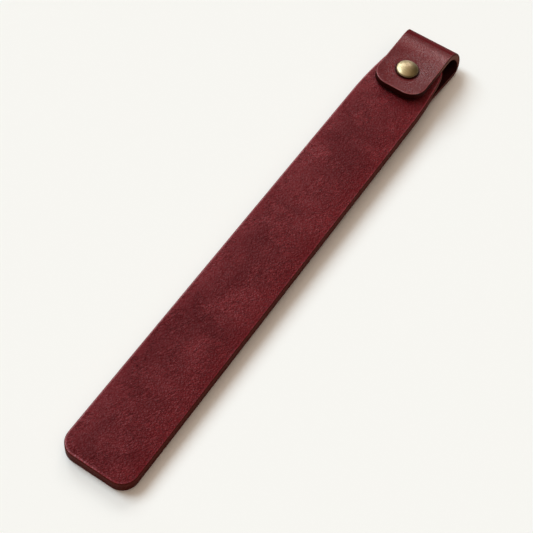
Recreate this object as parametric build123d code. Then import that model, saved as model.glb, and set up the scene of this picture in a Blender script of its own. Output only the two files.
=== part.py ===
# A leather bookmark: two leathers glued back to back, with a loop at one end.
# The back leather runs on past the strip, bends round as the loop and comes back as a flap,
# which a press stud holds to the tongue at the end of the face leather.
# Frame: origin at the centre of the strip's flat back, +Y towards the loop, +Z out of the face.
import math
import os

from build123d import *

# Strip
strip_width = 25.0
strip_length = 182.2
tip_corner_radius = 5.5
face_thickness = 2.4
back_thickness = 2.5

# Throat: where the two leathers part, both cut in from the strip's edges along the same curve
throat_inset = 0.7
throat_shoulder = 13.7

# Tongue: the end of the face leather, inside the loop
tongue_length = 14.0
tongue_end_inset = 3.0
tongue_corner_radius = 5.5

# Loop: outer radii of its bends and the angles that they turn through
dip_radius = 12.9
dip_angle = 10.0
heel_radius = 4.7
crown_radius = 9.6
crown_angle = 58.0
fold_lead = 4.0

# Flap
flap_inset = 2.75
flap_length = 23.65
flap_corner_radius = 6.3
flap_standoff = 1.2
snap_setback = 9.9

# Snap cap and the barrel that carries it
cap_radius = 4.0
cap_height = 1.9
cap_rim_height = 0.45
cap_wall = 0.35
cap_lip_width = 1.1
cap_lip_thickness = 0.18
barrel_radius = 1.5
barrel_bore_radius = 1.1
barrel_flange_radius = 3.3
barrel_flange_thickness = 0.4
barrel_roll_radius = 2.0
barrel_roll_thickness = 0.15

# Snap socket and its spring ring
socket_radius = 3.3
socket_recess = 0.8
socket_roof = 0.35
socket_cavity_radius = 2.5
socket_lip_radius = 2.0
socket_lip_thickness = 0.2
spring_wire_radius = 0.2
spring_opening_angle = 40.0

# Snap stud and the post that holds it
stud_flange_radius = 3.3
stud_flange_thickness = 0.4
stud_neck_radius = 1.6
stud_neck_height = 0.8
stud_head_radius = 1.95
stud_head_height = 0.4
stud_head_chamfer = 0.15
post_radius = 1.2
post_bore_radius = 0.8
post_flange_radius = 3.6
post_flange_thickness = 0.5
post_roll_radius = 1.6
post_roll_thickness = 0.15

# Clearances
hole_clearance = 0.1
barrel_clearance = 0.05
seat_clearance = 0.02
socket_clearance = 0.15
spring_clearance = 0.1

# Widths of the leathers past the strip
throat_width = strip_width - 2 * throat_inset
tongue_end_width = strip_width - 2 * tongue_end_inset
flap_width = strip_width - 2 * flap_inset

# Heights, from the back of the strip up
post_flange_bottom = back_thickness - post_flange_thickness
face_top = back_thickness + face_thickness
flap_bottom = face_top + flap_standoff
flap_top = flap_bottom + back_thickness
socket_top = flap_bottom + socket_recess
socket_bottom = face_top + socket_clearance
socket_roof_bottom = socket_top - socket_roof
stud_flange_bottom = face_top - stud_flange_thickness
stud_head_bottom = face_top + stud_neck_height
stud_top = stud_head_bottom + stud_head_height
cap_top = flap_top + cap_height
cap_lip_top = flap_top + cap_lip_thickness

# The straight run of the lower leg is as long as the bends need to bring the flap to its height
dip = math.radians(dip_angle)
crown = math.radians(crown_angle)
heel_rise = heel_radius * (math.cos(dip) + math.cos(crown))
crown_rise = crown_radius * (1 - math.cos(crown))
dip_fall = dip_radius * (1 - math.cos(dip))
leg_length = (heel_rise + crown_rise - dip_fall - flap_top) / math.sin(dip)

# Places along the strip
tip_y = -strip_length / 2
throat_y = strip_length / 2
tongue_end_y = throat_y + tongue_length
heel_reach = heel_radius * (math.sin(crown) + math.sin(dip))
crown_reach = crown_radius * math.sin(crown)
leg_reach = dip_radius * math.sin(dip) + leg_length * math.cos(dip)
flap_root_y = throat_y + leg_reach + heel_reach - crown_reach
flap_front_y = flap_root_y - flap_length
snap_y = flap_front_y + snap_setback


def loop_path():
    """The outer line of the loop in the YZ plane, run by run from the throat to the flap."""
    bend = JernArc((throat_y, 0), (1, 0), dip_radius, -dip_angle)
    leg = PolarLine(bend @ 1, leg_length - fold_lead, direction=bend % 1)
    lead = PolarLine(leg @ 1, fold_lead, direction=leg % 1)
    heel = JernArc(lead @ 1, lead % 1, heel_radius, 180 + dip_angle - crown_angle)
    top = JernArc(heel @ 1, heel % 1, crown_radius, crown_angle)
    return bend, leg, lead, heel, top


def leather_band(runs, width):
    """A band of back leather of the given width, bent along runs of its outer line."""
    outer = Wire(runs)
    section = make_face(outer.offset_2d(back_thickness, kind=Kind.TANGENT, side=Side.LEFT))
    return extrude(Plane.YZ * section, width / 2, both=True)


def shoulder():
    """The curve of the strip's right edge from its full width in to the throat."""
    start = (strip_width / 2, throat_y - throat_shoulder)
    return TangentArc(start, (throat_width / 2, throat_y), tangent=(0, 1))


def plan_outline(side):
    """The strip's outline from above, with the given right side from the throat on."""
    half = strip_width / 2
    curve = shoulder()
    end = side @ 1
    right = Polyline((0, tip_y), (half, tip_y), curve @ 0) + curve + side
    right += Line(end, (0, end.Y))
    face = make_face(right + mirror(right, Plane.YZ))
    tip_corners = [v for v in face.vertices() if v.Y == tip_y and v.X != 0]
    return fillet(tip_corners, tip_corner_radius)


def upright_hole(radius, bottom, top):
    """A round cutter on the snap's axis between two heights."""
    return Pos(0, snap_y, bottom) * extrude(Circle(radius), top - bottom)


def turned(*points):
    """A ring turned about the snap's axis from its half section in radius and height."""
    section = make_face(Polyline(*points, close=True))
    return Pos(0, snap_y, 0) * revolve(Plane.XZ * section, Axis.Z)


def face_leather():
    """The front of the strip, with the stud's seat in its tongue."""
    curve = shoulder()
    side = TangentArc(curve @ 1, (tongue_end_width / 2, tongue_end_y), tangent=curve % 1)
    outline = plan_outline(side)
    end_corners = [v for v in outline.vertices().group_by(Axis.Y)[-1] if v.X != 0]
    outline = fillet(end_corners, tongue_corner_radius)
    sheet = Pos(0, 0, back_thickness) * extrude(outline, face_thickness)
    seat = upright_hole(stud_flange_radius + hole_clearance, stud_flange_bottom, face_top)
    hole = upright_hole(post_radius + hole_clearance, back_thickness, face_top)
    return sheet - seat - hole


def back_leather():
    """The back of the strip and the lower leg of the loop, in one band."""
    bend, leg, lead, heel, top = loop_path()
    flat = Line((tip_y, 0), (throat_y, 0))
    band = leather_band([flat, bend, leg], strip_width)
    leg_end_y = (leg @ 1).X + back_thickness * math.sin(dip)
    side = Line(shoulder() @ 1, (throat_width / 2, leg_end_y))
    prism = extrude(plan_outline(side), strip_length, both=True)
    # Where the leather lies against the tongue at the snap, it is hollowed for the post's flange
    seat = upright_hole(post_flange_radius + hole_clearance, post_flange_bottom, back_thickness)
    return (band & prism) - seat


def narrowing_band(runs):
    """A length of the fold, which narrows all the way from the lower leg up to the flap."""
    bend, leg, lead, heel, top = loop_path()
    band = leather_band(runs, throat_width)
    low_z = (leg @ 1).Y
    narrowing = (throat_width - flap_width) / (flap_top - low_z)
    foot_z = low_z - heel_radius
    foot_width = throat_width + narrowing * heel_radius
    sides = Polyline(
        (-foot_width / 2, foot_z),
        (foot_width / 2, foot_z),
        (flap_width / 2, flap_top),
        (-flap_width / 2, flap_top),
        close=True,
    )
    wedge = extrude(Plane.XZ * make_face(sides), -strip_length)
    return band & wedge


def loop_heel():
    """The tight bend at the far end of the loop."""
    bend, leg, lead, heel, top = loop_path()
    return narrowing_band([lead, heel])


def loop_crown():
    """The wide bend over the top of the loop, from the heel to the flap."""
    bend, leg, lead, heel, top = loop_path()
    return narrowing_band([top])


def loop_flap():
    """The flap, with the socket's seat under it and the barrel's hole through it."""
    middle_y = (flap_front_y + flap_root_y) / 2
    outline = Pos(0, middle_y) * Rectangle(flap_width, flap_length)
    front_corners = outline.vertices().group_by(Axis.Y)[0]
    outline = fillet(front_corners, flap_corner_radius)
    sheet = Pos(0, 0, flap_bottom) * extrude(outline, back_thickness)
    seat = upright_hole(socket_radius + hole_clearance, flap_bottom, socket_top)
    hole = upright_hole(barrel_radius + barrel_clearance, flap_bottom, flap_top)
    return sheet - seat - hole


def snap_cap():
    """The domed shell, with its rim rolled in under the barrel's flange."""
    pocket_radius = barrel_flange_radius + barrel_clearance
    pocket_top = cap_lip_top + barrel_flange_thickness + seat_clearance
    rim_top = flap_top + cap_rim_height
    dome = SagittaArc((cap_radius, rim_top), (-cap_radius, rim_top), -(cap_top - rim_top))
    hollow_rise = cap_top - cap_wall - pocket_top
    hollow = SagittaArc((pocket_radius, pocket_top), (-pocket_radius, pocket_top), -hollow_rise)
    outside = Polyline(dome @ 1, (-cap_radius, flap_top), (cap_radius, flap_top), dome @ 0)
    inside = Polyline(
        hollow @ 1,
        (-pocket_radius, cap_lip_top),
        (pocket_radius, cap_lip_top),
        hollow @ 0,
    )
    right_half = Pos(cap_radius, flap_top) * Rectangle(2 * cap_radius, 2 * cap_top)
    shell = (make_face(dome + outside) - make_face(hollow + inside)) & right_half
    solid = Pos(0, snap_y, 0) * revolve(Plane.XZ * shell, Axis.Z)
    return solid - upright_hole(cap_radius - cap_lip_width, flap_top, cap_lip_top)


def cap_barrel():
    """The flanged tube that goes down through the flap and is rolled out under the socket's roof."""
    flange_bottom = cap_lip_top + seat_clearance
    flange_top = cap_lip_top + barrel_flange_thickness
    roll_bottom = socket_roof_bottom - barrel_roll_thickness
    return turned(
        (barrel_bore_radius, roll_bottom),
        (barrel_roll_radius, roll_bottom),
        (barrel_roll_radius, socket_roof_bottom),
        (barrel_radius, socket_roof_bottom),
        (barrel_radius, flange_bottom),
        (barrel_flange_radius, flange_bottom),
        (barrel_flange_radius, flange_top),
        (barrel_bore_radius, flange_top),
    )


def snap_socket():
    """The shell under the flap, with a lip at its mouth that keeps the spring ring in."""
    roof_hole = barrel_radius + barrel_clearance
    lip_top = socket_bottom + socket_lip_thickness
    return turned(
        (socket_lip_radius, socket_bottom),
        (socket_radius, socket_bottom),
        (socket_radius, socket_top),
        (roof_hole, socket_top),
        (roof_hole, socket_roof_bottom),
        (socket_cavity_radius, socket_roof_bottom),
        (socket_cavity_radius, lip_top),
        (socket_lip_radius, lip_top),
    )


def snap_spring():
    """The split wire ring that closes round the stud's neck."""
    ring_radius = stud_neck_radius + spring_clearance + spring_wire_radius
    ring_z = socket_bottom + socket_lip_thickness + seat_clearance + spring_wire_radius
    wire = Pos(ring_radius, ring_z) * Circle(spring_wire_radius)
    ring = revolve(Plane.XZ * wire, Axis.Z, 360 - spring_opening_angle)
    return Pos(0, snap_y, 0) * ring


def snap_stud():
    """The knob on the tongue, with its flange let into the leather."""
    bore = post_radius + barrel_clearance
    chamfer_bottom = stud_top - stud_head_chamfer
    return turned(
        (bore, stud_flange_bottom),
        (stud_flange_radius, stud_flange_bottom),
        (stud_flange_radius, face_top),
        (stud_neck_radius, face_top),
        (stud_neck_radius, stud_head_bottom),
        (stud_head_radius, stud_head_bottom),
        (stud_head_radius, chamfer_bottom),
        (stud_head_radius - stud_head_chamfer, stud_top),
        (bore, stud_top),
    )


def stud_post():
    """The rivet under the tongue, whose tube is rolled out over the stud's head."""
    roll_top = stud_top + post_roll_thickness
    return turned(
        (0, post_flange_bottom),
        (post_flange_radius, post_flange_bottom),
        (post_flange_radius, back_thickness),
        (post_radius, back_thickness),
        (post_radius, stud_top),
        (post_roll_radius, stud_top),
        (post_roll_radius, roll_top),
        (post_bore_radius, roll_top),
        (post_bore_radius, back_thickness),
        (0, back_thickness),
    )


def hinge_place(run):
    """Where a bend of the loop opens and closes: the middle of the leather, halfway round it."""
    outer = run @ 0.5
    along = run % 0.5
    return outer.X - along.Y * back_thickness / 2, outer.Y + along.X * back_thickness / 2


pieces = {
    "face_leather": face_leather(),
    "back_leather": back_leather(),
    "loop_heel": loop_heel(),
    "loop_crown": loop_crown(),
    "loop_flap": loop_flap(),
    "snap_cap": snap_cap(),
    "cap_barrel": cap_barrel(),
    "snap_socket": snap_socket(),
    "snap_spring": snap_spring(),
    "snap_stud": snap_stud(),
    "stud_post": stud_post(),
}

os.makedirs("parts", exist_ok=True)
for name, piece in pieces.items():
    export_step(piece, f"parts/{name}.step")

whole = Compound(children=list(pieces.values())).bounding_box()
print("box", whole.min, whole.max)
print("hinges y, z", [hinge_place(run) for run in loop_path()[3:]])
print("snap y", snap_y, "flap root y", flap_root_y, "flap front y", flap_front_y)
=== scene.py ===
import math

import bmesh
import bpy
from mathutils import Matrix, Vector


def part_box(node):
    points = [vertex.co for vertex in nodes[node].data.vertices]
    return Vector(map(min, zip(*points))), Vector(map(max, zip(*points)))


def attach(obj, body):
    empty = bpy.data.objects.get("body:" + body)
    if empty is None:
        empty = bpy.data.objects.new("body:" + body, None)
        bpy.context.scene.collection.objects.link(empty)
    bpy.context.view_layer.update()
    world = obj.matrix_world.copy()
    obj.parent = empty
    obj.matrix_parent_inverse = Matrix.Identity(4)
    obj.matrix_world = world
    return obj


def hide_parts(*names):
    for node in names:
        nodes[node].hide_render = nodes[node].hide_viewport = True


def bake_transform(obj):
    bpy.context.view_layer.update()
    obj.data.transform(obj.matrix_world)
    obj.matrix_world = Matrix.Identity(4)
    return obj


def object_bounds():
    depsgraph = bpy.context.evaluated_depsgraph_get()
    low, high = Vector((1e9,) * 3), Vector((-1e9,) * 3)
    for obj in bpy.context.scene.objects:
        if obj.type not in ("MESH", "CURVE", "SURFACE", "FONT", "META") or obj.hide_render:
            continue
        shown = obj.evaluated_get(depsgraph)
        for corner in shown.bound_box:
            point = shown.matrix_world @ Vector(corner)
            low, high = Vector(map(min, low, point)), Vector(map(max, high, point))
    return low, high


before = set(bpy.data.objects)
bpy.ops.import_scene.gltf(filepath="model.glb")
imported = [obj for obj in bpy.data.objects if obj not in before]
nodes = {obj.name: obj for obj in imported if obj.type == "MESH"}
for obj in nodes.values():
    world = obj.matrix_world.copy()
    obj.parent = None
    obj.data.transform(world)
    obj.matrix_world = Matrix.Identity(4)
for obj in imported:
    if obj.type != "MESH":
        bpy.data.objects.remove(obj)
cad_low, cad_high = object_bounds()


# Face leather: the front of the strip, a waxed pull-up hide cut with round corners at the free end.
# At the other end it narrows to a rounded tongue inside the loop, with a seat for the snap's stud.
# Its edge is bevelled, dyed and burnished, and its flesh side is glued to the back leather.
mm = 0.001
face_low, face_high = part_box("face_leather")
cap_low, cap_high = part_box("snap_cap")
strip_half = face_high.x
tip_y = face_low.y
throat_y = -tip_y
strap_thickness = face_low.z
face_top = face_high.z
snap_y = (cap_low.y + cap_high.y) / 2
tongue_length = face_high.y - throat_y
tongue_half = 9.5 * mm
tongue_corner_reach = 4.4 * mm
tongue_sweep_reach = 2.6 * mm
throat_inset = 0.7 * mm
shoulder_length = 13.7 * mm
tip_corner_reach = 5.5 * mm
arris_radius = 0.8 * mm
glue_line_round = 0.1 * mm
stud_seat_radius = 3.4 * mm
stud_seat_depth = 0.4 * mm
# Points this close are at one place, and a face this square to the thickness is part of a wide side
same_place = 0.001 * mm
flat_enough = 0.69


def round_corners(piece, corners, reach, steps=10):
    """Rounds corners of an outline, each from the given reach along its two sides."""
    bmesh.ops.bevel(piece, geom=corners, offset=reach, offset_type="ABSOLUTE", segments=steps, profile=0.5,
                    affect="VERTICES", clamp_overlap=False, material=-1)


def thicken(piece, thickness):
    """Raises a flat cut into a slab of that thickness."""
    slab = bmesh.ops.extrude_face_region(piece, geom=piece.faces[:], use_keep_orig=True)["geom"]
    raised = [g for g in slab if isinstance(g, bmesh.types.BMVert)]
    bmesh.ops.translate(piece, verts=raised, vec=(0, 0, thickness))
    bmesh.ops.recalc_face_normals(piece, faces=piece.faces[:])


def round_rim(piece, height, radius, steps):
    """Rounds the rim of a flat leather where its side meets the surface at that height, and marks how far
    each point is round the rim: the mark is 0 at both ends of the round and 1 halfway."""
    rim = [e for e in piece.edges
           if all(abs(v.co.z - height) < same_place for v in e.verts)
           and any(abs(f.normal.z) < flat_enough for f in e.link_faces)]
    made = bmesh.ops.bevel(piece, geom=rim, offset=radius, offset_type="OFFSET", segments=steps,
                           profile=0.5, affect="EDGES", clamp_overlap=False, material=-1)
    piece.normal_update()
    mark = piece.verts.layers.float.get("rim") or piece.verts.layers.float.new("rim")
    for vert in {v for face in made["faces"] for v in face.verts}:
        rise = min(1.0, max(0.0, 1.0 - abs(vert.co.z - height) / radius))
        vert[mark] = math.sin(2 * math.asin(rise))


def sink_seat(piece, surface, centre, radius, depth):
    """Lets a round seat with a flat floor into a flat surface of a leather."""
    outline = list(surface.edges)
    out = surface.normal.copy()
    bmesh.ops.delete(piece, geom=[surface], context="FACES_ONLY")
    circle = bmesh.ops.create_circle(piece, segments=48, radius=radius, matrix=Matrix.Translation(centre))
    ring = list({e for v in circle["verts"] for e in v.link_edges})
    bmesh.ops.triangle_fill(piece, use_beauty=True, edges=outline + ring, normal=out)
    wall = bmesh.ops.extrude_edge_only(piece, edges=ring)["geom"]
    wall_foot = [g for g in wall if isinstance(g, bmesh.types.BMVert)]
    bmesh.ops.translate(piece, verts=wall_foot, vec=-out * depth)
    bmesh.ops.edgeloop_fill(piece, edges=[g for g in wall if isinstance(g, bmesh.types.BMEdge)])
    bmesh.ops.recalc_face_normals(piece, faces=piece.faces[:])


def mark_sides(piece, grain_up):
    """Gives each face its finish: 0 on the grain side, 1 on the cut edge and 2 on the flesh side. The grain
    side is on top where grain_up is 1 and underneath where it is -1."""
    for face in piece.faces:
        rise = face.normal.z * grain_up
        face.material_index = 0 if rise > flat_enough else 2 if rise < -flat_enough else 1


def add_object(piece, name, materials):
    """An object from a finished mesh, with its materials."""
    mesh = bpy.data.meshes.new(name)
    piece.to_mesh(mesh)
    piece.free()
    for material in materials:
        mesh.materials.append(material)
    made = bpy.data.objects.new(name, mesh)
    bpy.context.scene.collection.objects.link(made)
    return made


def finish_leather(piece, name, materials):
    """A leather object, with its wide faces shaded flat right up to their rounded rims."""
    leather = add_object(piece, name, materials)
    leather.data.shade_smooth()
    wide = leather.modifiers.new("wide faces first", "WEIGHTED_NORMAL")
    wide.weight = 80
    return leather


def add_node(tree, kind, settings=None, **inputs):
    """A shader node with its settings; each input is a value or the socket that feeds it."""
    made = tree.nodes.new("ShaderNode" + kind)
    for key, value in (settings or {}).items():
        setattr(made, key, value)
    for key, value in inputs.items():
        socket = made.inputs[int(key[1:])] if key[1:].isdigit() else made.inputs[key.replace("_", " ")]
        if isinstance(value, bpy.types.NodeSocket):
            tree.links.new(value, socket)
        else:
            socket.default_value = value
    return made


def math_node(tree, operation, a, b=0.0, clamp=False):
    """The result of one sum on two values."""
    return add_node(tree, "Math", {"operation": operation, "use_clamp": clamp}, i0=a, i1=b).outputs[0]


def times(tree, *values):
    """The product of several values."""
    product = values[0]
    for value in values[1:]:
        product = math_node(tree, "MULTIPLY", product, value)
    return product


def mix_colours(tree, share, a, b, way="MIX"):
    """Colour a with that share of colour b laid over it."""
    mix = add_node(tree, "Mix", {"data_type": "RGBA", "blend_type": way}, i0=share, i6=a, i7=b)
    return mix.outputs[2]


def shade(tree, colour, tone):
    """A colour made darker or lighter by a tone, which leaves it as it is at 1."""
    grey = add_node(tree, "CombineColor", None, Red=tone, Green=tone, Blue=tone).outputs[0]
    return mix_colours(tree, 1.0, colour, grey, "MULTIPLY")


def spread(tree, value, low, high, to_low=0.0, to_high=1.0):
    """A value's range from low to high, stretched to another range."""
    stretched = add_node(tree, "MapRange", None, Value=value, From_Min=low, From_Max=high,
                         To_Min=to_low, To_Max=to_high)
    return stretched.outputs["Result"]


def noise(tree, place, scale, detail, roughness=0.5, distortion=0.0):
    """A soft random value at a place, with patches about one over scale across."""
    made = add_node(tree, "TexNoise", None, Vector=place, Scale=scale, Detail=detail, Roughness=roughness,
                    Distortion=distortion)
    return made.outputs[0]


def new_group(name, inputs, outputs):
    """An empty shader group with its sockets, and its input and output nodes."""
    group = bpy.data.node_groups.new(name, "ShaderNodeTree")
    for label, kind in inputs:
        group.interface.new_socket(label, in_out="INPUT", socket_type="NodeSocket" + kind)
    for label, kind in outputs:
        group.interface.new_socket(label, in_out="OUTPUT", socket_type="NodeSocket" + kind)
    return group, group.nodes.new("NodeGroupInput").outputs, group.nodes.new("NodeGroupOutput").inputs


# The grain side of a dyed hide, on a place in millimetres: clouds of deeper dye and of dye pulled up
# paler, a fine pebbled grain with painted shade in its valleys, short slanting wrinkles with painted shade
# in their creases, and a paler rim that is partly rubbed wear and partly a painted highlight.
clouds_per_mm = 0.045
wisps_per_mm = 0.15
pebbles_per_mm = 1.5
speckles_per_mm = 2.3
wrinkle_size = (2.6, 0.75, 1.0)
wrinkle_lean = math.radians(62)


def dye_clouds(tree, place):
    """Broad clouds of dye with small wisps in them, and the wisps alone."""
    broad_clouds = noise(tree, place, clouds_per_mm, detail=2.5, distortion=0.6)
    wisps = noise(tree, place, wisps_per_mm, detail=1.5, distortion=0.8)
    return math_node(tree, "ADD", times(tree, broad_clouds, 0.6), times(tree, wisps, 0.4)), wisps


def grain_pebbles(tree, place):
    """The pebbles of the grain: a tone for each, and how far up its dome a point is."""
    shift = add_node(tree, "TexNoise", None, Vector=place, Scale=0.9, Detail=1.0)
    bent_place = add_node(tree, "VectorMath", {"operation": "MULTIPLY_ADD"},
                          i0=shift.outputs["Color"], i1=(0.45, 0.45, 0.45), i2=place).outputs[0]
    pebbles = add_node(tree, "TexVoronoi", {"feature": "F1"}, Vector=bent_place, Scale=pebbles_per_mm).outputs
    tone = add_node(tree, "SeparateColor", None, Color=pebbles["Color"]).outputs[0]
    return tone, spread(tree, pebbles["Distance"], 0.0, 0.75, 1.0, 0.0)


hide_grain, given, gives = new_group(
    "hide grain",
    [("Place", "Vector"), ("Rub", "Float"), ("Deep", "Color"), ("Dye", "Color"), ("Pulled Up", "Color"),
     ("Rubbed", "Color"), ("Clouds", "Float"), ("Grain", "Float")],
    [("Color", "Color"), ("Roughness", "Float"), ("Height", "Float")])
place = given["Place"]
cloud, wisps = dye_clouds(hide_grain, place)
deep_share = times(hide_grain, spread(hide_grain, cloud, 0.50, 0.40), given["Clouds"])
pulled_share = times(hide_grain, spread(hide_grain, cloud, 0.49, 0.60), given["Clouds"])
dyed = mix_colours(hide_grain, deep_share, given["Dye"], given["Deep"])
dyed = mix_colours(hide_grain, pulled_share, dyed, given["Pulled Up"])
pebble_tone, domes = grain_pebbles(hide_grain, place)
speckle = noise(hide_grain, place, speckles_per_mm, detail=1.5, roughness=0.6)
slant = add_node(hide_grain, "Mapping", {"vector_type": "TEXTURE"}, Vector=place,
                 Rotation=(0, 0, wrinkle_lean), Scale=wrinkle_size).outputs[0]
wrinkles = noise(hide_grain, slant, 1.0, detail=2.0, roughness=0.55, distortion=0.5)
off_crease = math_node(hide_grain, "ABSOLUTE", math_node(hide_grain, "SUBTRACT", wrinkles, 0.5))
crease = spread(hide_grain, off_crease, 0.0, 0.04, 1.0, 0.0)
crease = times(hide_grain, crease, spread(hide_grain, wisps, 0.40, 0.52))
# Painted shade: the valleys between the pebbles are painted darker than their tops
tone = times(hide_grain, spread(hide_grain, pebble_tone, 0.0, 1.0, 0.96, 1.04),
             spread(hide_grain, domes, 0.1, 0.8, 0.90, 1.06))
toned = mix_colours(hide_grain, given["Grain"], dyed, shade(hide_grain, dyed, tone))
# Painted shade: the wrinkle creases are painted towards the deep dye
shaded = mix_colours(hide_grain, times(hide_grain, crease, given["Grain"], 0.4), toned, given["Deep"])
# The rim is mixed towards the paler rubbed colour: partly rubbed wear and partly a painted highlight
hide_grain.links.new(mix_colours(hide_grain, given["Rub"], shaded, given["Rubbed"]), gives["Color"])
height = math_node(hide_grain, "ADD", times(hide_grain, domes, 0.5), times(hide_grain, speckle, 0.6))
height = math_node(hide_grain, "SUBTRACT", height, times(hide_grain, crease, 0.5))
hide_grain.links.new(times(hide_grain, height, given["Grain"]), gives["Height"])
hide_grain.links.new(spread(hide_grain, cloud, 0.35, 0.65, 0.05, -0.05), gives["Roughness"])

# The cut edge of a hide, on a place in millimetres and a depth that runs from 0 at the flesh side to 1 at
# the grain side: tan fibres in the core, dye soaked in from both sides, and all dark where it is burnished.
soaks_per_mm = 0.7
fibres_per_mm = 3.5
burnish_fade = 5 * mm
cut_edge, given, gives = new_group(
    "cut edge",
    [("Place", "Vector"), ("Depth", "Float"), ("Burnish", "Float"), ("Core", "Color"), ("Dyed", "Color")],
    [("Color", "Color"), ("Height", "Float")])
soak = noise(cut_edge, given["Place"], soaks_per_mm, detail=3.0, roughness=0.6)
soak = times(cut_edge, math_node(cut_edge, "SUBTRACT", soak, 0.5), 0.3)
soaked = math_node(cut_edge, "ADD", given["Depth"], soak)
grain_edge = spread(cut_edge, soaked, 0.62, 0.86)
flesh_edge = spread(cut_edge, soaked, 0.16, 0.0)
dark = math_node(cut_edge, "MAXIMUM", grain_edge, flesh_edge)
dark = math_node(cut_edge, "MAXIMUM", dark, given["Burnish"])
fibres = noise(cut_edge, given["Place"], fibres_per_mm, detail=3.0, roughness=0.7)
dark = math_node(cut_edge, "MAXIMUM", dark, spread(cut_edge, fibres, 0.40, 0.72, 0.0, 0.5))
edge_colour = mix_colours(cut_edge, dark, given["Core"], given["Dyed"])
streaked = shade(cut_edge, edge_colour, spread(cut_edge, fibres, 0.3, 0.7, 0.75, 1.3))
cut_edge.links.new(streaked, gives["Color"])
cut_edge.links.new(fibres, gives["Height"])


def start_material(name):
    """A material with a plain shader, its node tree and that shader."""
    material = bpy.data.materials.new(name)
    material.use_nodes = True
    return material, material.node_tree, material.node_tree.nodes["Principled BSDF"]


def feeding(node, label):
    """The socket that feeds an input of a node so far."""
    return node.inputs[label].links[0].from_socket


def place_in_mm(tree, attribute=None):
    """The place that a pattern follows, in millimetres: the object's own, or the flat cut's, which is kept
    on the mesh."""
    if attribute is None:
        source = add_node(tree, "TexCoord").outputs["Object"]
    else:
        source = add_node(tree, "Attribute", {"attribute_name": attribute}).outputs["Vector"]
    return add_node(tree, "VectorMath", {"operation": "SCALE"}, Vector=source, Scale=1000.0).outputs[0]


def add_relief(tree, shader, height, depth):
    """Raises and sinks a surface by a height that runs from 0 to 1, over the given depth, on top of any
    relief so far."""
    relief = add_node(tree, "Bump", None, Strength=1.0, Distance=depth, Height=height)
    for link in shader.inputs["Normal"].links:
        tree.links.new(link.from_socket, relief.inputs["Normal"])
    tree.links.new(relief.outputs["Normal"], shader.inputs["Normal"])


def hide_material(name, attribute, colours, clouds, grain, roughness, gloss, relief_depth):
    """A finished grain side from its deep, plain, pulled-up and rubbed colours, the last a paler rim that is
    partly rubbed wear and partly a painted highlight. The tops of its pebbles, its pulled-up clouds and its
    rubbed rims shine more, and what is seen from the side hardly shines."""
    material, tree, shader = start_material(name)
    deep, dye, pulled_up, rubbed_highlight = colours
    place = place_in_mm(tree, attribute)
    cloud, wisps = dye_clouds(tree, place)
    domes = grain_pebbles(tree, place)[1]
    rim = add_node(tree, "Attribute", {"attribute_name": "rim"}).outputs["Fac"]
    # Rim mask for the paler rim, partly rubbed wear and partly a painted highlight, and for its shine
    rim_rub_highlight = times(tree, rim, spread(tree, wisps, 0.35, 0.6, 0.6, 1.0))
    hide = add_node(tree, "Group", {"node_tree": hide_grain}, Place=place, Rub=rim_rub_highlight, Deep=deep, Dye=dye,
                    Pulled_Up=pulled_up, Rubbed=rubbed_highlight, Clouds=clouds, Grain=grain).outputs
    tree.links.new(hide["Color"], shader.inputs["Base Color"])
    uneven = math_node(tree, "ADD", hide["Roughness"], roughness, clamp=True)
    tree.links.new(uneven, shader.inputs["Roughness"])
    dome_shine = times(tree, spread(tree, domes, 0.1, 0.85, -0.5, 0.3), grain)
    cloud_shine = spread(tree, cloud, 0.40, 0.60, 0.75, 1.25)
    shine = times(tree, math_node(tree, "ADD", dome_shine, 1.0), cloud_shine, gloss)
    shine = math_node(tree, "ADD", times(tree, rim_rub_highlight, 0.4), shine)
    facing = add_node(tree, "LayerWeight", None, Blend=0.5).outputs["Facing"]
    shine = times(tree, shine, spread(tree, facing, 0.30, 0.50, 1.0, 0.01))
    shader.inputs["Specular IOR Level"].default_value = gloss
    tree.links.new(shine, shader.inputs["Specular IOR Level"])
    add_relief(tree, shader, hide["Height"], relief_depth)
    return material


def edge_material(name, attribute, flesh_z, grain_z, raw_from, raw_to, core, dyed):
    """A cut edge between the heights of its flesh and grain sides, burnished before and after a stretch of
    raw edge."""
    material, tree, shader = start_material(name)
    place = place_in_mm(tree, attribute)
    parts = add_node(tree, "SeparateXYZ", None, Vector=place).outputs
    depth = spread(tree, parts["Z"], flesh_z / mm, grain_z / mm)
    before = spread(tree, parts["Y"], (raw_from + burnish_fade) / mm, raw_from / mm)
    after = spread(tree, parts["Y"], (raw_to - burnish_fade) / mm, raw_to / mm)
    edge = add_node(tree, "Group", {"node_tree": cut_edge}, Place=place, Depth=depth,
                    Burnish=math_node(tree, "MAXIMUM", before, after), Core=core, Dyed=dyed).outputs
    tree.links.new(edge["Color"], shader.inputs["Base Color"])
    shader.inputs["Roughness"].default_value = 0.6
    shader.inputs["Specular IOR Level"].default_value = 0.03
    add_relief(tree, shader, edge["Height"], 0.03 * mm)
    return material


naps_per_mm = 2.6
nap_hollow = (0.012, 0.002, 0.002, 1)
nap_top = (0.036, 0.006, 0.005, 1)


def flesh_material(name, attribute):
    """The dark, napped flesh side of a dyed hide."""
    material, tree, shader = start_material(name)
    nap = noise(tree, place_in_mm(tree, attribute), naps_per_mm, detail=4.0, roughness=0.75)
    napped = mix_colours(tree, spread(tree, nap, 0.35, 0.65), nap_hollow, nap_top)
    tree.links.new(napped, shader.inputs["Base Color"])
    shader.inputs["Roughness"].default_value = 0.95
    shader.inputs["Specular IOR Level"].default_value = 0.02
    add_relief(tree, shader, nap, 0.06 * mm)
    return material


# Deep, plain and pulled-up dye, and a paler rim colour that is partly rubbed wear and partly a painted
# highlight
oxblood = [(0.098, 0.0070, 0.0094, 1), (0.131, 0.0098, 0.0126, 1), (0.176, 0.0136, 0.0174, 1),
           (0.340, 0.030, 0.046, 1)]
face_hide = hide_material("face hide", None, oxblood, clouds=1.0, grain=1.0, roughness=0.42, gloss=0.155,
                          relief_depth=0.36 * mm)
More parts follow.
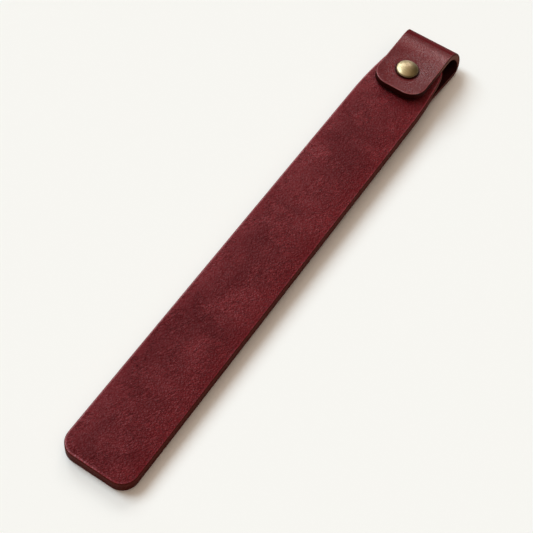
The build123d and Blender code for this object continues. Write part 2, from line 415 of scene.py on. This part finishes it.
# The two long edges are pressed down a little when they are bevelled, so the strip bows across, and
# both edges are painted paler, a painted highlight along them. The colour is painted darker towards the
# free end and lighter towards the throat, a painted shade gradient, and the wax shines less towards the free
# end.
pressed_depth = 1.2 * mm
tip_shade_tone = 0.86
throat_light_tone = 1.12
tree = face_hide.node_tree
shader = tree.nodes["Principled BSDF"]
rim_rub_highlight = feeding(tree.nodes["Group"], "Rub")
spot = add_node(tree, "SeparateXYZ", None, Vector=place_in_mm(tree)).outputs
from_middle = math_node(tree, "ABSOLUTE", times(tree, spot["X"], mm / strip_half))
edge_press_and_light = math_node(tree, "POWER", from_middle, 3.0)
add_relief(tree, shader, edge_press_and_light, -pressed_depth)
# Painted light: both long edges are painted paler, towards the pulled-up colour, away from the rim
off_rim_highlight = math_node(tree, "SUBTRACT", 1.0, rim_rub_highlight)
dyed = mix_colours(tree, times(tree, edge_press_and_light, off_rim_highlight, 0.6), feeding(shader, "Base Color"), oxblood[2])
# Painted shade: the colour is darker towards the free end and lighter towards the throat; the same ramp dulls
# the wax towards the free end
tip_shade_and_dull = spread(tree, spot["Y"], tip_y / mm, throat_y / mm, tip_shade_tone, throat_light_tone)
tree.links.new(shade(tree, dyed, tip_shade_and_dull), shader.inputs["Base Color"])
waxed = times(tree, feeding(shader, "Specular IOR Level"), tip_shade_and_dull)
# The rim is slicked smooth with bone, most on its left, so it shines there in a fine line
leftward = spread(tree, spot["X"], -strip_half / mm, strip_half / mm, 0.6, -0.3)
slick_shine = math_node(tree, "ADD", waxed, times(tree, rim_rub_highlight, leftward))
tree.links.new(math_node(tree, "MAXIMUM", slick_shine, 0.0), shader.inputs["Specular IOR Level"])
slicked = math_node(tree, "SUBTRACT", feeding(shader, "Roughness"), times(tree, rim_rub_highlight, 0.08))
tree.links.new(slicked, shader.inputs["Roughness"])
# The cut edge is burnished from the tip to the throat, and raw from there to the tongue's end
past_the_end = 500 * mm
face_edge = edge_material("face cut edge", None, strap_thickness, face_top, throat_y, past_the_end,
                          core=(0.13, 0.050, 0.035, 1), dyed=(0.082, 0.0105, 0.0065, 1))
face_flesh = flesh_material("face flesh side", None)

throat_half = strip_half - throat_inset
throat_slope = 2 * throat_inset / shoulder_length
shoulder_y = throat_y - shoulder_length / 2
sweep_y = throat_y + tongue_length / 2
corners = [(strip_half, tip_y), (strip_half, shoulder_y),
           (throat_half - throat_slope * tongue_length / 2, sweep_y), (tongue_half, face_high.y)]
cut = bmesh.new()
right_side = [cut.verts.new((x, y, strap_thickness)) for x, y in corners]
left_side = [cut.verts.new((-x, y, strap_thickness)) for x, y in reversed(corners)]
cut.faces.new(right_side + left_side)
reaches = (tip_corner_reach, shoulder_length / 2, tongue_sweep_reach, tongue_corner_reach)
for (x, y), reach in zip(corners, reaches):
    round_corners(cut, [v for v in cut.verts if abs(v.co.y - y) < same_place], reach)
thicken(cut, face_top - strap_thickness)
round_rim(cut, face_top, arris_radius, 6)
round_rim(cut, strap_thickness, glue_line_round, 2)
grain_face = max((f for f in cut.faces if f.normal.z > flat_enough), key=lambda f: f.calc_area())
sink_seat(cut, grain_face, (0, snap_y, face_top), stud_seat_radius, stud_seat_depth)
mark_sides(cut, 1)
face_leather = finish_leather(cut, "face_leather_cut", [face_hide, face_edge, face_flesh])
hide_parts("face_leather")
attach(face_leather, "strip")


# Snap stud and its post: a turned brass knob on the tongue, and the flanged tube under the tongue
# that comes up through the leather and is rolled out over the knob to hold it.
def dress(names, metal):
    """Gives pieces that keep their turned or drawn shape their metal."""
    for name in names:
        nodes[name].data.materials.clear()
        nodes[name].data.materials.append(metal)


bright_brass = (0.50, 0.36, 0.15, 1)
tarnished_brass = (0.33, 0.23, 0.10, 1)
plain_brass, tree, shader = start_material("plain brass")
place = place_in_mm(tree)
tarnish = noise(tree, place, 0.9, detail=4.0, roughness=0.6)
tarnished = mix_colours(tree, spread(tree, tarnish, 0.35, 0.7), bright_brass, tarnished_brass)
tree.links.new(tarnished, shader.inputs["Base Color"])
tree.links.new(spread(tree, tarnish, 0.3, 0.7, 0.28, 0.46), shader.inputs["Roughness"])
shader.inputs["Metallic"].default_value = 1.0
add_relief(tree, shader, noise(tree, place, 6.0, detail=2.0), 0.004 * mm)
dress(["snap_stud", "stud_post"], plain_brass)


# Back leather: one strap that backs the strip, dips under the tongue, bends round as the loop and comes
# back over the tongue as the flap. It is cut flat, its edges are rounded, and then it is folded; the
# flesh side is glued to the face leather, so the grain side shows on the back, the loop and the flap.
flap_low, flap_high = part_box("loop_flap")
flap_half = flap_high.x
flap_top = flap_high.z
flap_length = flap_high.y - flap_low.y
flap_corner_reach = 6.3 * mm
dip_bend = math.radians(10.0)
crown_bend = math.radians(58.0)
heel_bend = math.pi + dip_bend - crown_bend
dip_middle = 14.15 * mm
heel_middle = 3.45 * mm
crown_middle = 8.35 * mm
fold_lead = 4.0 * mm
strap_rim = 0.55 * mm
socket_seat_depth = 0.8 * mm
beside_seam = 0.02 * mm
outer = strap_thickness / 2
heel_rise = (heel_middle + outer) * (math.cos(dip_bend) + math.cos(crown_bend))
crown_rise = (crown_middle + outer) * (1 - math.cos(crown_bend))
dip_drop = (dip_middle - outer) * (1 - math.cos(dip_bend))
leg_length = (heel_rise + crown_rise - dip_drop - flap_top) / math.sin(dip_bend)
# Runs of the strap along its middle: length, bend in radians (turning up is positive) and cross cuts
runs = [(throat_y - tip_y - shoulder_length, 0.0, 6),
        (shoulder_length, 0.0, 10),
        (dip_middle * dip_bend, -dip_bend, 8),
        (leg_length - fold_lead, 0.0, 6),
        (fold_lead, 0.0, 2),
        (heel_middle * heel_bend, heel_bend, 64),
        (crown_middle * crown_bend, crown_bend, 48),
        (flap_length, 0.0, 1)]
fold_start = sum(run[0] for run in runs[:4])
heel_start = sum(run[0] for run in runs[:5])
seam = sum(run[0] for run in runs[:6])
flap_root = sum(run[0] for run in runs[:7])


def folded(along, up):
    """Where a point of the flat strap goes when it is folded: along the strap from the tip, up from its
    middle."""
    y, z, heading = tip_y, outer, 0.0
    for length, bend, steps in runs:
        part = min(along, length) if (length, bend, steps) != runs[-1] else along
        turn = bend * part / length
        if bend:
            radius = length / bend
            y += radius * (math.sin(heading + turn) - math.sin(heading))
            z += radius * (math.cos(heading) - math.cos(heading + turn))
        else:
            y += part * math.cos(heading)
            z += part * math.sin(heading)
        heading += turn
        along -= part
        if along <= 0:
            break
    return y - up * math.sin(heading), z + up * math.cos(heading)


def strap_half(along):
    """Half the strap's width: full on the strip, cut in to the throat, even along the lower leg and
    narrowing all the way up the fold."""
    y, z = folded(along, -outer)
    if along > fold_start:
        rise_left = (flap_top - z) / (flap_top - folded(fold_start, -outer)[1])
        return min(throat_half, flap_half + (throat_half - flap_half) * rise_left)
    share = min(1.0, max(0.0, 1 - (throat_y - y) / shoulder_length))
    return strip_half - throat_inset * share * share


def draw_out(sheet, edge, way):
    """Draws a sheet out from its leading edge, and gives its new leading edge."""
    drawn = bmesh.ops.extrude_edge_only(sheet, edges=[edge])["geom"]
    ahead = next(g for g in drawn if isinstance(g, bmesh.types.BMEdge) and all(v in drawn for v in g.verts))
    bmesh.ops.translate(sheet, verts=ahead.verts, vec=way)
    return ahead


stations = [0.0]
for length, bend, steps in runs:
    start = stations[-1]
    stations += [start + length * step / steps for step in range(1, steps + 1)]
stations = sorted(stations + [seam - beside_seam, seam + beside_seam])

strap = bmesh.new()
leading = strap.edges.new([strap.verts.new((x, 0, 0)) for x in (-strip_half, strip_half)])
for before, along in zip(stations, stations[1:]):
    leading = draw_out(strap, leading, (0, along - before, 0))
    bmesh.ops.scale(strap, verts=leading.verts, vec=(strap_half(along) / strap_half(before), 1, 1))
round_corners(strap, [v for v in strap.verts if v.co.y < same_place], tip_corner_reach)
round_corners(strap, [v for v in strap.verts if v.co.y > stations[-1] - same_place], flap_corner_reach)
bmesh.ops.translate(strap, verts=strap.verts, vec=(0, 0, -outer))
thicken(strap, strap_thickness)
round_rim(strap, -outer, strap_rim, 6)
round_rim(strap, outer, glue_line_round, 2)
snap_along = flap_root + folded(flap_root, 0)[0] - snap_y
under_flap = [f for f in strap.faces if f.normal.z > flat_enough and f.calc_center_median().y > flap_root]
under_flap = max(under_flap, key=lambda f: f.calc_area())
sink_seat(strap, under_flap, (0, snap_along, outer), stud_seat_radius, socket_seat_depth)
mark_sides(strap, -1)
flat_place = strap.verts.layers.float_vector.new("flat_place")
for vert in strap.verts:
    vert[flat_place] = vert.co
fold_side = {face.index: face.calc_center_median().y > seam for face in strap.faces}
for vert in strap.verts:
    vert.co.y, vert.co.z = folded(vert.co.y, vert.co.z)

# Deep, plain and pulled-up dye, and a paler rim colour that is partly rubbed wear and partly a painted
# highlight
chestnut_oxblood = [(0.101, 0.0086, 0.0106, 1), (0.132, 0.0112, 0.0136, 1), (0.161, 0.0142, 0.0170, 1),
                    (0.340, 0.080, 0.082, 1)]
strap_hide = hide_material("strap hide", "flat_place", chestnut_oxblood, clouds=0.6, grain=0.6,
                           roughness=0.30, gloss=0.385, relief_depth=0.22 * mm)
# The flap's top is not quite flat: it falls towards the fold, is dished across and is drawn down
# round the cap. Its pattern's place is in millimetres, and so are these sizes.
root_in_mm = flap_root / mm
fall_start = 2.0
fall_length = 9.0
fall_round = 3.0
fall_slope = 0.18
dish_curve = 0.003
dip_from = 3.6
dip_to = 6.6
dip_depth = 0.14
tree = strap_hide.node_tree
shader = tree.nodes["Principled BSDF"]
flat = add_node(tree, "SeparateXYZ", None, Vector=place_in_mm(tree, "flat_place")).outputs
past_start = math_node(tree, "SUBTRACT", flat["Y"], root_in_mm + fall_start)
fall = add_node(tree, "Math", {"operation": "SMOOTH_MIN"}, i0=past_start, i1=0.0, i2=fall_round).outputs[0]
fall = times(tree, math_node(tree, "MAXIMUM", fall, -fall_length), fall_slope)
dish = times(tree, flat["X"], flat["X"], dish_curve)
flat_spot = add_node(tree, "CombineXYZ", None, X=flat["X"], Y=flat["Y"]).outputs[0]
from_snap = add_node(tree, "VectorMath", {"operation": "DISTANCE"}, i0=flat_spot,
                     i1=(0, snap_along / mm, 0)).outputs["Value"]
drawn_down = add_node(tree, "MapRange", {"interpolation_type": "SMOOTHERSTEP"}, Value=from_snap,
                      From_Min=dip_from, From_Max=dip_to, To_Min=-dip_depth, To_Max=0.0).outputs[0]
swell = math_node(tree, "ADD", math_node(tree, "ADD", fall, dish), drawn_down)
add_relief(tree, shader, swell, mm)
# Fingers that open it have polished its right side and the stretch next to the fold
right_polish = spread(tree, flat["X"], -7.0, 6.0, 0.66, 1.30)
front_dull = spread(tree, flat["Y"], root_in_mm + 12.0, root_in_mm + 19.0, 1.0, 0.72)
from_root = math_node(tree, "SUBTRACT", flat["Y"], root_in_mm)
by_fold = times(tree, spread(tree, from_root, -2.0, 0.5), spread(tree, from_root, 7.5, 3.0))
polish = math_node(tree, "MAXIMUM", times(tree, right_polish, front_dull), times(tree, by_fold, 1.6))
# Next to the fold the colour is painted paler, a painted highlight along the sheen band, and in the bend
# it is painted deeper, a painted shade
fold_highlight_colour = (0.178, 0.0142, 0.0170, 1)
in_bend = times(tree, spread(tree, from_root, 0.0, -2.0), spread(tree, from_root, -14.0, -10.0))
dyed = mix_colours(tree, times(tree, by_fold, 0.75), feeding(shader, "Base Color"), fold_highlight_colour)
dyed = mix_colours(tree, times(tree, in_bend, 0.75), dyed, chestnut_oxblood[0])
# A dark ring is painted round the cap's rim, a painted contact shadow, and the shine is dulled there
cap_shadow_colour = (0.010, 0.002, 0.002, 1)
cap_shadow_ring = spread(tree, from_snap, 4.2, 4.8, 0.8, 0.0)
tree.links.new(mix_colours(tree, cap_shadow_ring, dyed, cap_shadow_colour), shader.inputs["Base Color"])
dull = math_node(tree, "MAXIMUM", cap_shadow_ring, times(tree, in_bend, 0.6))
polish = times(tree, polish, math_node(tree, "SUBTRACT", 1.0, dull))
shine = times(tree, feeding(shader, "Specular IOR Level"), polish)
tree.links.new(shine, shader.inputs["Specular IOR Level"])
# The edge is raw round the loop and burnished on the strip and the flap, and painted near-black towards the
# flap's front as painted shade
raw_from = heel_start + 0.35 * heel_middle * heel_bend
raw_to = flap_root + 9 * mm
strap_edge = edge_material("strap cut edge", "flat_place", outer, -outer, raw_from, raw_to,
                           core=(0.185, 0.070, 0.048, 1), dyed=(0.068, 0.0090, 0.0055, 1))
front_edge_shade = (0.012, 0.0012, 0.0010, 1)
tree = strap_edge.node_tree
shader = tree.nodes["Principled BSDF"]
along = add_node(tree, "SeparateXYZ", None, Vector=place_in_mm(tree, "flat_place")).outputs["Y"]
# Painted shade: the edge is painted near-black towards the flap's front
front_shade_share = spread(tree, along, root_in_mm + 8.0, root_in_mm + 15.0, 0.0, 0.65)
dyed = mix_colours(tree, front_shade_share, feeding(shader, "Base Color"), front_edge_shade)
tree.links.new(dyed, shader.inputs["Base Color"])
strap_flesh = flesh_material("strap flesh side", "flat_place")

upper_strap = strap.copy()
strap.faces.index_update()
upper_strap.faces.index_update()
bmesh.ops.delete(strap, geom=[f for f in strap.faces if fold_side[f.index]], context="FACES")
below_seam = [f for f in upper_strap.faces if not fold_side[f.index]]
bmesh.ops.delete(upper_strap, geom=below_seam, context="FACES")
strap_finish = [strap_hide, strap_edge, strap_flesh]
lower_strap = finish_leather(strap, "back_strap", strap_finish)
upper_strap = finish_leather(upper_strap, "flap_strap", strap_finish)
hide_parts("back_leather", "loop_heel")
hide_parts("loop_crown", "loop_flap")
heel_begins = Vector((0, *folded(heel_start, 0)))
heel_ends = Vector((0, *folded(seam, 0)))
crown_ends = Vector((0, *folded(flap_root, 0)))
# How far the seam reaches across the strap's half thickness, and a little more
seam_margin = 1.02
seam_up = (Vector((0, *folded(seam, outer))) - heel_ends) * seam_margin
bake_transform(lower_strap)
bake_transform(upper_strap)


# Snap socket, spring ring and cap barrel: the brass shell under the flap, the split steel wire ring
# that it holds, and the flanged tube that comes down from the cap and is rolled out inside the shell.
dark_steel = (0.36, 0.36, 0.37, 1)
bright_steel = (0.55, 0.55, 0.56, 1)
spring_steel, tree, shader = start_material("spring steel")
drawn = noise(tree, place_in_mm(tree), 5.0, detail=3.0)
tree.links.new(mix_colours(tree, drawn, dark_steel, bright_steel), shader.inputs["Base Color"])
tree.links.new(spread(tree, drawn, 0.3, 0.7, 0.25, 0.4), shader.inputs["Roughness"])
shader.inputs["Metallic"].default_value = 1.0
dress(["snap_spring"], spring_steel)
dress(["cap_barrel", "snap_socket"], plain_brass)


# Snap cap: a dome pressed from thin brass sheet, with its rim rolled in over the barrel's flange. It is
# antiqued: darkened all over and then brushed back, so brown stays in the rim and the fine scratches. Its
# right side is painted brown too, a painted shade on the side away from the lights.
cap_radius = cap_high.x
dome_radius = 8.6 * mm
dome_reach = 3.45 * mm
shoulder_drop = 0.22 * mm
shoulder_round = 0.45 * mm
foot_round = 0.42 * mm
cap = bmesh.new()
crown_point = cap.verts.new((0, snap_y, cap_high.z))
dome_centre = Vector((0, snap_y, cap_high.z - dome_radius))
bmesh.ops.spin(cap, geom=[crown_point], cent=dome_centre, axis=(0, 1, 0),
               angle=math.asin(dome_reach / dome_radius), steps=18)
edge_of_dome = max(cap.verts, key=lambda v: v.co.x)
shoulder = cap.verts.new((cap_radius, snap_y, edge_of_dome.co.z - shoulder_drop))
foot = cap.verts.new((cap_radius, snap_y, flap_top))
inside = cap.verts.new((0, snap_y, flap_top))
for a, b in ((edge_of_dome, shoulder), (shoulder, foot), (foot, inside)):
    cap.edges.new((a, b))
round_corners(cap, [shoulder], shoulder_round, 6)
round_corners(cap, [foot], foot_round, 6)
bmesh.ops.spin(cap, geom=cap.verts[:] + cap.edges[:], cent=(0, snap_y, 0), axis=(0, 0, 1),
               angle=2 * math.pi, steps=96, use_merge=True)
bmesh.ops.remove_doubles(cap, verts=cap.verts[:], dist=0.1 * same_place)
bmesh.ops.recalc_face_normals(cap, faces=cap.faces[:])

brushed_brass = (0.46, 0.360, 0.195, 1)
brown_brass = (0.105, 0.066, 0.008, 1)
scratch_brown = (0.150, 0.103, 0.026, 1)
rim_brown_top = flap_top + 0.9 * mm
rim_brown_foot = flap_top + 0.15 * mm
brush_size = (3.0, 0.5, 1.0)
brush_lean = math.radians(-20)
antique_brass, tree, shader = start_material("antique brass")
place = place_in_mm(tree)
parts = add_node(tree, "SeparateXYZ", None, Vector=place).outputs
rim_brown = times(tree, spread(tree, parts["Z"], rim_brown_top / mm, rim_brown_foot / mm), 0.6)
# Painted shade: the cap's right side is painted brown
right_side_shade = spread(tree, parts["X"], -1.5, 2.5, 0.0, 0.88)
patina = noise(tree, place, 0.8, detail=5.0, roughness=0.6)
brush_place = add_node(tree, "Mapping", {"vector_type": "TEXTURE"}, Vector=place,
                       Rotation=(0, 0, brush_lean), Scale=brush_size).outputs[0]
brush = noise(tree, brush_place, 1.0, detail=3.0, roughness=0.6)
brown = math_node(tree, "ADD", rim_brown, spread(tree, patina, 0.42, 0.72, 0.0, 0.35), clamp=True)
brown = math_node(tree, "MAXIMUM", brown, right_side_shade)
brassy = mix_colours(tree, brown, brushed_brass, brown_brass)
brassy = mix_colours(tree, spread(tree, brush, 0.45, 0.68, 0.0, 0.45), brassy, scratch_brown)
tree.links.new(brassy, shader.inputs["Base Color"])
tree.links.new(spread(tree, brush, 0.3, 0.7, 0.38, 0.48), shader.inputs["Roughness"])
shader.inputs["Metallic"].default_value = 1.0
shader.inputs["Coat Weight"].default_value = 0.7
shader.inputs["Coat Roughness"].default_value = 0.3
add_relief(tree, shader, brush, 0.006 * mm)
snap_cap = add_object(cap, "snap_cap_dome", [antique_brass])
snap_cap.data.shade_smooth()
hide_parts("snap_cap")
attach(snap_cap, "flap")


# Table: a pale matt top. The bookmark lies on it with its tip's lower edge and the belly of the loop,
# so in the bookmark's own frame the top slopes down by about a degree from the tip to the loop.
table_reach = 2.5
pale = (0.93, 0.922, 0.880, 1)
belly_y = folded(heel_start, heel_middle)[0]
pale_top, tree, shader = start_material("pale table top")
shader.inputs["Base Color"].default_value = pale
shader.inputs["Roughness"].default_value = 0.9
shader.inputs["Specular IOR Level"].default_value = 0.0
table_top = bmesh.new()
first_corners = [table_top.verts.new((x, -table_reach, 0)) for x in (-table_reach, table_reach)]
leading = table_top.edges.new(first_corners)
leading = draw_out(table_top, leading, (0, tip_y + table_reach, 0))
leading = draw_out(table_top, leading, (0, belly_y - tip_y, cad_low.z))
draw_out(table_top, leading, (0, table_reach - belly_y, 0))
bmesh.ops.recalc_face_normals(table_top, faces=table_top.faces[:])
if table_top.faces[:][0].normal.z < 0:
    bmesh.ops.reverse_faces(table_top, faces=table_top.faces[:])
table = add_object(table_top, "table", [pale_top])


# Light: a large cool window on the strip's left, two weaker windows beyond the loop and a warm ceiling.
# Each share is the part of the light on the table that comes from it, and the four together make white.
def soft_window(name, way, width, share):
    """A far soft source in the given direction, as wide as the angle given, with its share of the light."""
    light = bpy.data.lights.new(name, "SUN")
    way = Vector(way).normalized()
    strongest = max(share)
    light.energy = math.pi * strongest / way.z
    light.color = [part / strongest for part in share]
    light.angle = math.radians(width)
    window = bpy.data.objects.new(name, light)
    window.matrix_world = way.to_track_quat("Z", "Y").to_matrix().to_4x4()
    bpy.context.scene.collection.objects.link(window)


ceiling_share = (0.45, 0.370, 0.307)
back_share = (0.055, 0.049, 0.048)
left_back_share = (0.12, 0.13, 0.135)
left_share = [1 - sum(parts) for parts in zip(ceiling_share, back_share, left_back_share)]
soft_window("left window", (-0.68, 0.02, 0.73), 32.0, left_share)
soft_window("left back window", (-0.62, 0.54, 0.58), 22.0, left_back_share)
soft_window("back window", (-0.28, 0.80, 0.53), 18.0, back_share)
wall_glow = 0.05
ceiling_focus = 3.5
ceiling_glow = (1.0 - wall_glow) * (ceiling_focus + 2) / 2
room = bpy.data.worlds.new("room")
room.use_nodes = True
tree = room.node_tree
way = add_node(tree, "TexCoord").outputs["Generated"]
upward = add_node(tree, "SeparateXYZ", None, Vector=way).outputs["Z"]
ceiling = math_node(tree, "POWER", math_node(tree, "MAXIMUM", upward, 0.0), ceiling_focus)
glow = math_node(tree, "ADD", times(tree, ceiling, ceiling_glow), wall_glow)
# The foot of the walls is as pale as the table wherever it is seen, also in the metal, and gives no light
foot_full = 0.20
foot_gone = 0.28
ray = add_node(tree, "LightPath").outputs
seen = math_node(tree, "MAXIMUM", ray["Is Camera Ray"], ray["Is Glossy Ray"])
seen = math_node(tree, "MAXIMUM", seen, ray["Is Transmission Ray"])
pale_foot = times(tree, seen, spread(tree, upward, foot_gone, foot_full))
room_colour = mix_colours(tree, pale_foot, (*ceiling_share, 1), pale)
room_glow = add_node(tree, "Mix", {"data_type": "FLOAT"}, i0=pale_foot, i2=glow, i3=1.0).outputs[0]
tree.links.new(room_colour, tree.nodes["Background"].inputs["Color"])
tree.links.new(room_glow, tree.nodes["Background"].inputs["Strength"])
bpy.context.scene.world = room


# Camera: a long lens from above the tip's right, turned a little, as in the photograph.
# Its angles are in degrees: round from the strip's line, up from the table and turned about its own view.
camera_round = 26.216
camera_up = 56.851
camera_turn = 8.079
camera_aim = Vector((2.058, -1.466, 0.0)) * mm
camera_distance = 403.367 * mm
lens = bpy.data.cameras.new("camera")
lens.sensor_width = 36.0
lens.lens = 84.36
camera = bpy.data.objects.new("camera", lens)
tilt = Matrix.Rotation(math.radians(90.0 - camera_up), 4, "X")
turn = Matrix.Rotation(math.radians(camera_turn), 4, "Z")
stand = Matrix.Rotation(math.radians(camera_round), 4, "Z") @ tilt @ turn
camera.matrix_world = Matrix.Translation(camera_aim) @ stand @ Matrix.Translation((0, 0, camera_distance))
bpy.context.scene.collection.objects.link(camera)
bpy.context.scene.camera = camera
bpy.context.scene.view_settings.view_transform = "Standard"
